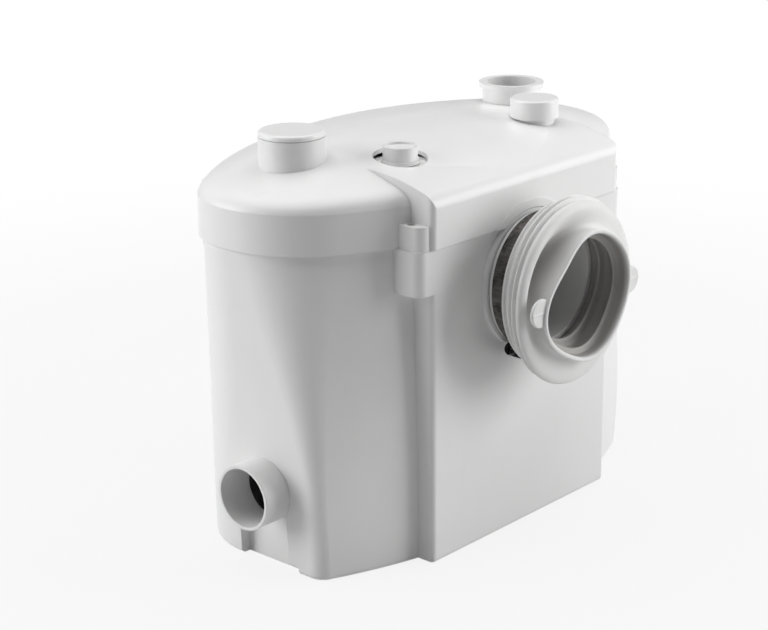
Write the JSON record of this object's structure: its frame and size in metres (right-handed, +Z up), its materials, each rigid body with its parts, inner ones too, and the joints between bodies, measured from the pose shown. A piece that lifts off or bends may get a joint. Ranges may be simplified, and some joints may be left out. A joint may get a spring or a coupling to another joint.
{
  "type": "sewage lifting station",
  "caption": "Compact macerator lifting station: oval plastic tank with domed lid, rubber toilet coupling, side inlet with flap, discharge socket, and pump, motor and level switch inside.",
  "frame": {"origin": "on the floor, at the middle of the tank's oval", "axes": "+Z up, -Y front with the toilet inlet, -X the side with the low inlet"},
  "size_m": [0.382, 0.2785, 0.2955],
  "materials": {
    "shell_white": "satin",
    "pale_rubber": "matte",
    "black_rubber": "matte",
    "band_steel": "brushed",
    "black_steel": "satin",
    "grey_plastic": "satin",
    "black_plastic": "satin",
    "cream_plastic": "satin",
    "cast_metal": "cast",
    "core_steel": "laminated",
    "wire_brass": "lacquered",
    "bearing_steel": "polished",
    "seal_ceramic": "lapped",
    "can_aluminium": "satin",
    "carbon": "granular"
  },
  "bodies": {
    "station": {"bearing_bracket": "cast_metal", "bend_clips": "band_steel", "cable_gland": "black_plastic", "capacitor": "can_aluminium", "capacitor_clip": "band_steel", "casing_bolts": "band_steel", "check_pin": "band_steel", "clamp_housing": "black_steel", "coupling_clamp": "band_steel", "cutting_plate": "band_steel", "deck_screws": "band_steel", "discharge_bend": "black_rubber", "discharge_socket": "shell_white", "flap_pin": "band_steel", "flap_ring": "black_plastic", "gland_nut": "black_plastic", "level_bell": "grey_plastic", "lever_pin": "band_steel", "lid": "shell_white", "lid_gasket": "black_rubber", "lid_screws": "band_steel", "low_bearing_balls": "bearing_steel", "low_bearing_outer": "bearing_steel", "membrane": "black_rubber", "membrane_cup": "grey_plastic", "microswitch": "black_plastic", "motor_can": "band_steel", "motor_end_cap": "black_plastic", "pump_casing": "black_plastic", "pump_feet": "black_rubber", "riser_pipe": "grey_plastic", "seal_seat": "seal_ceramic", "stator_core": "core_steel", "switch_deck": "grey_plastic", "tank": "shell_white", "terminal_block": "cream_plastic", "toilet_coupling": "pale_rubber", "top_bearing_balls": "bearing_steel", "top_bearing_outer": "bearing_steel", "windings": "wire_brass"},
    "rotor": {"shaft": "band_steel", "rotor_core": "core_steel", "low_bearing_inner": "bearing_steel", "top_bearing_inner": "bearing_steel", "seal_ring": "seal_ceramic", "impeller": "black_plastic", "cutter_knife": "band_steel", "knife_bolt": "band_steel"},
    "side_flap": {"side_flap": "black_rubber"},
    "check_flap": {"check_flap": "black_rubber"},
    "level_plunger": {"level_plunger": "grey_plastic"},
    "switch_lever": {"switch_lever": "band_steel"},
    "inlet_plug": {"inlet_plug": "shell_white"},
    "vent_cap": {"vent_cap": "shell_white"},
    "filter_knob": {"filter_knob": "shell_white", "filter_canister": "grey_plastic", "carbon_filter": "carbon"},
    "clamp_screw": {"clamp_screw": "black_steel"}
  },
  "joints": [
    {"name": "rotor_spin", "type": "hinge", "parent": "station", "child": "rotor", "pos_m": [0.03, 0.004, 0.1], "axis": [0, 0, 1], "continuous": true},
    {"name": "side_flap_hinge", "type": "hinge", "parent": "station", "child": "side_flap", "pos_m": [-0.1462, -0.0174, 0.0798], "axis": [0, -1, 0], "range_deg": [0, 70]},
    {"name": "check_flap_hinge", "type": "hinge", "parent": "station", "child": "check_flap", "pos_m": [0.1342, 0.004, 0.2423], "axis": [0, 1, 0], "range_deg": [0, 60]},
    {"name": "plunger_lift", "type": "slide", "parent": "station", "child": "level_plunger", "axis": [0, 0, 1], "range_m": [0, 0.002], "stiffness_N_per_m": 200, "springref_m": -0.001},
    {"name": "lever_hinge", "type": "hinge", "parent": "station", "child": "switch_lever", "pos_m": [-0.0755, 0.034, 0.2182], "axis": [0, 1, 0], "range_deg": [0, 8.2]},
    {"name": "inlet_plug_pull", "type": "slide", "parent": "station", "child": "inlet_plug", "axis": [0, 0, 1], "range_m": [0, 0.02]},
    {"name": "vent_cap_pull", "type": "slide", "parent": "station", "child": "vent_cap", "axis": [0, 0, 1], "range_m": [0, 0.016]},
    {"name": "filter_knob_turn", "type": "hinge", "parent": "station", "child": "filter_knob", "pos_m": [-0.069, -0.049, 0.27], "axis": [0, 0, 1], "range_deg": [0, 45]},
    {"name": "clamp_screw_turn", "type": "hinge", "parent": "station", "child": "clamp_screw", "pos_m": [-0.02287, -0.1165, 0.1386], "axis": [0.8988, 0, -0.4384], "continuous": true}
  ],
  "couplings": [
    {"joint": "lever_hinge", "follows": "plunger_lift", "rad_per_m": 69.7}
  ]
}
